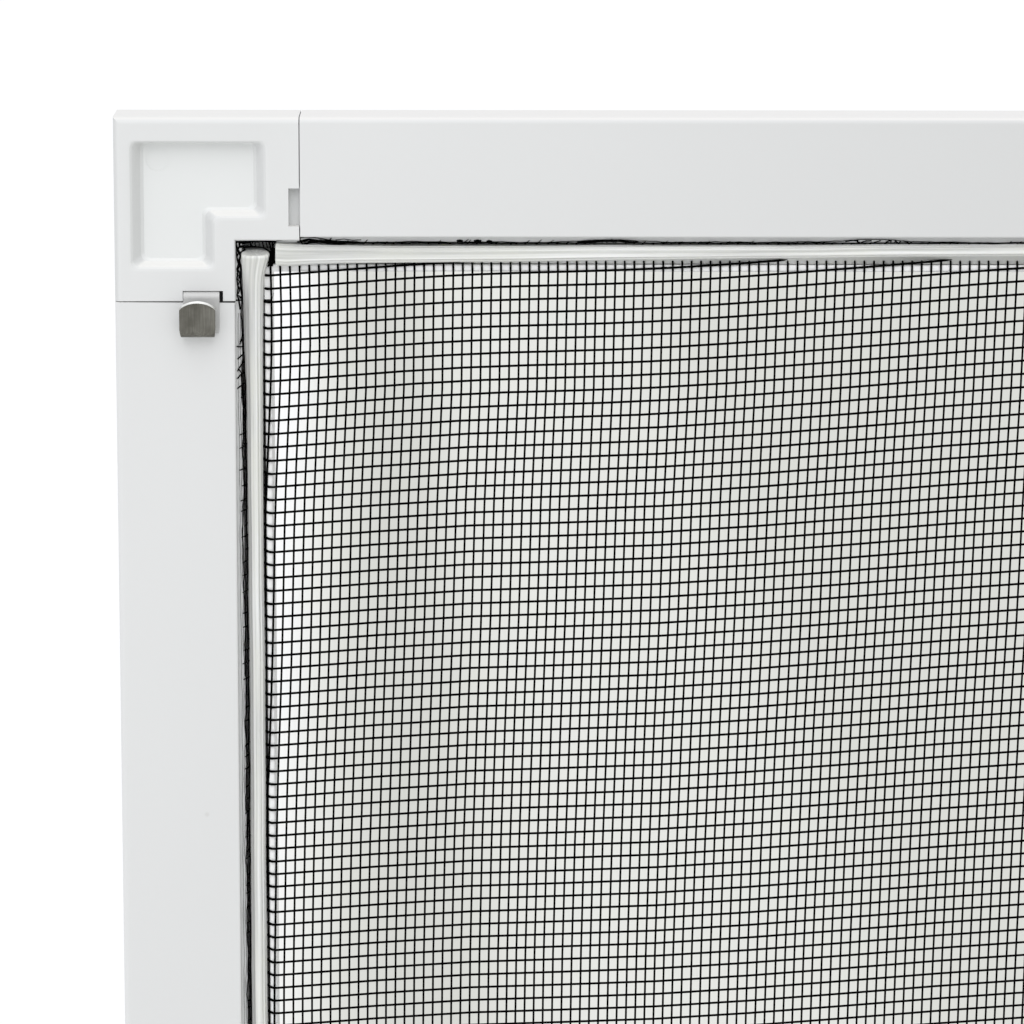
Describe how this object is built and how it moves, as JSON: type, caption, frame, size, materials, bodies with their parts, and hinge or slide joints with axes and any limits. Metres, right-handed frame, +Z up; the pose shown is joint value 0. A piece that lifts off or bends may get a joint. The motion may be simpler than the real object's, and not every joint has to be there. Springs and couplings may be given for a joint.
{
  "type": "window screen frame",
  "caption": "Framed insect screen: hollow extruded sides, moulded corner connectors, black mesh held in grooves by white splines, and spring hooks that hang it in a window.",
  "frame": {"origin": "middle of the top rail's back face, half way across the screen and half way up the rail", "axes": "+X across the screen to the right seen from the front, +Z up, +Y out of the back towards the window frame; the splines and clips face -Y"},
  "size_m": [0.5, 0.0131, 0.6001],
  "materials": {
    "frame_white": "white satin powder coat on extruded aluminium",
    "corner_white": "white moulded plastic, fine matt texture",
    "spline_white": "white soft cord with fine flutes",
    "mesh_black": "black coated glass-fibre insect mesh",
    "clip_steel": "brushed spring steel"
  },
  "bodies": {
    "root": {"left_stile": "frame_white", "right_stile": "frame_white", "top_rail": "frame_white", "bottom_rail": "frame_white", "corner_top_left": "corner_white", "corner_top_right": "corner_white", "corner_bottom_right": "corner_white", "corner_bottom_left": "corner_white", "spline_left": "spline_white", "spline_top": "spline_white", "spline_right": "spline_white", "spline_bottom": "spline_white", "insect_mesh": "mesh_black", "clip_top_left": "clip_steel", "clip_top_right": "clip_steel", "clip_bottom_right": "clip_steel", "clip_bottom_left": "clip_steel"}
  },
  "joints": []
}
